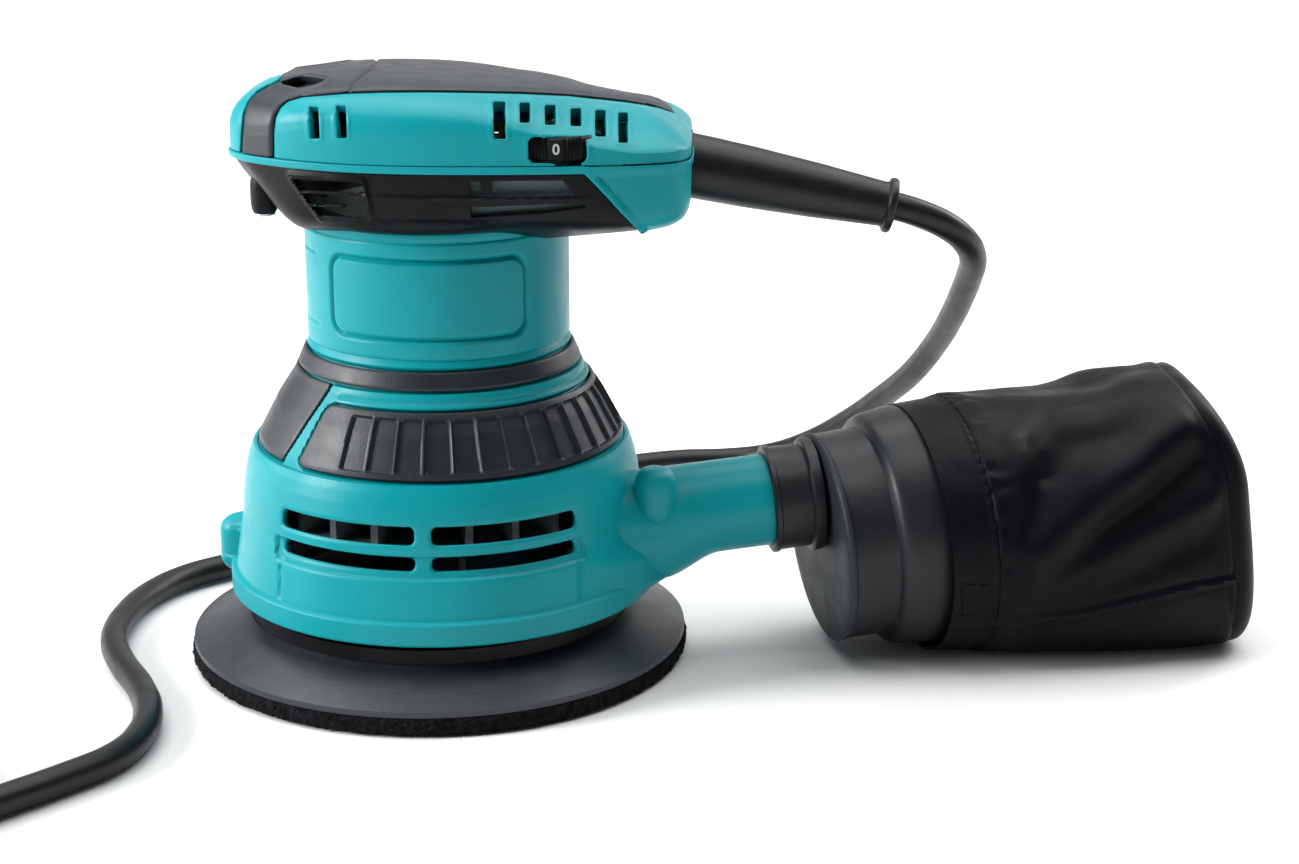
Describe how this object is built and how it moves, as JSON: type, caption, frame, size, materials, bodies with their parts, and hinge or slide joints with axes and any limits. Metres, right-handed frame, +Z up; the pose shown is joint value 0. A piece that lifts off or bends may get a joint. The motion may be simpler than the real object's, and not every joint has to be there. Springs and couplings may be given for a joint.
{
  "type": "random orbit sander",
  "caption": "Palm-grip random orbit sander with a round hook-faced pad, slotted dust skirt, side dust bag, speed dial, rocker switch and mains cord.",
  "frame": {"origin": "where the motor axis meets the plane of the pad's abrasive face, which is the surface the sander stands on", "axes": "+Z up along the motor axis; +X towards the rear, where the cord and the dust bag leave; -X is the nose; +Y is the sander's left side seen from behind the nose"},
  "size_m": [0.4069, 0.3121, 0.1509],
  "materials": {
    "teal_plastic": "satin moulded ABS/PA shell, fine spark texture",
    "soft_grip": "overmoulded soft elastomer, matte",
    "black_plastic": "black moulded plastic, satin",
    "cap_plastic": "grey-green glass-filled plastic",
    "fan_plastic": "grey glass-filled plastic",
    "pad_foam": "dense closed-cell elastomer, smooth moulded skin",
    "hook_fabric": "micro hook-and-loop layer",
    "bag_cloth": "coated woven cloth with a soft sheen",
    "cord_rubber": "smooth black cord sheath",
    "black_rubber": "black rubber",
    "steel": "ground steel",
    "lamination": "stacked electrical steel",
    "copper": "enamelled copper",
    "brass": "drawn brass",
    "carbon": "pressed carbon",
    "aluminium": "die-cast aluminium",
    "zinc": "sintered steel",
    "board": "printed board and potted parts",
    "capacitor_case": "moulded case",
    "lead_insulation": "insulated leads"
  },
  "bodies": {
    "housing": {"head_shell": "teal_plastic", "head_base": "teal_plastic", "grip_cover": "soft_grip", "vent_collar": "black_plastic", "motor_cap": "cap_plastic", "motor_housing": "teal_plastic", "bell_cover": "soft_grip", "rib_grip": "soft_grip", "dust_skirt": "teal_plastic", "brake_ring": "black_rubber", "bearing_plate": "aluminium", "lower_bearing": "steel", "upper_bearing": "steel", "stator_core": "lamination", "field_coils": "copper", "brush_holders": "brass", "carbon_brushes": "carbon", "brush_springs": "steel", "switch_body": "black_plastic", "speed_module": "board", "capacitor": "capacitor_case", "core_leads": "lead_insulation", "cord_guard": "cord_rubber", "cord_clamp": "black_plastic", "clamp_screws": "steel", "head_screws": "steel", "plate_screws": "steel", "power_cord": "cord_rubber", "cord_coil": "cord_rubber", "cord_tail": "cord_rubber", "cord_ties": "black_rubber", "plug_body": "cord_rubber", "plug_pins": "brass"},
    "rotor": {"armature_shaft": "steel", "armature_core": "lamination", "armature_windings": "copper", "commutator": "copper", "fan": "fan_plastic", "counterweight": "zinc", "pad_bearing": "steel", "bearing_retainer": "steel", "retainer_screws": "steel"},
    "pad": {"pad_spindle": "steel", "spindle_bolt": "steel", "pad_plate": "black_plastic", "backing_pad": "pad_foam", "hook_layer": "hook_fabric", "pad_screws": "steel"},
    "rocker": {"switch_rocker": "black_plastic"},
    "dial": {"speed_dial": "black_plastic"},
    "dust_bag": {"bag_collar": "black_plastic", "bag_disc": "black_plastic", "bag_drum": "black_plastic", "bag_fabric": "bag_cloth", "bag_tab": "bag_cloth"}
  },
  "joints": [
    {"name": "motor_spin", "type": "hinge", "parent": "housing", "child": "rotor", "pos_m": [0, 0, 0.08], "axis": [0, 0, 1], "continuous": true},
    {"name": "pad_spin", "type": "hinge", "parent": "rotor", "child": "pad", "pos_m": [-0.0014, 0, 0.026], "axis": [0, 0, 1], "continuous": true},
    {"name": "rocker_tilt", "type": "hinge", "parent": "housing", "child": "rocker", "pos_m": [-0.029, 0, 0.138], "axis": [1, 0, 0], "range_deg": [-6, 6]},
    {"name": "dial_turn", "type": "hinge", "parent": "housing", "child": "dial", "pos_m": [0.0315, -0.0273, 0.134], "axis": [0, 0, 1], "range_deg": [-135, 135]},
    {"name": "bag_pull", "type": "slide", "parent": "housing", "child": "dust_bag", "axis": [0.9825, 0.1644, 0.0872], "range_m": [0, 0.06]}
  ]
}
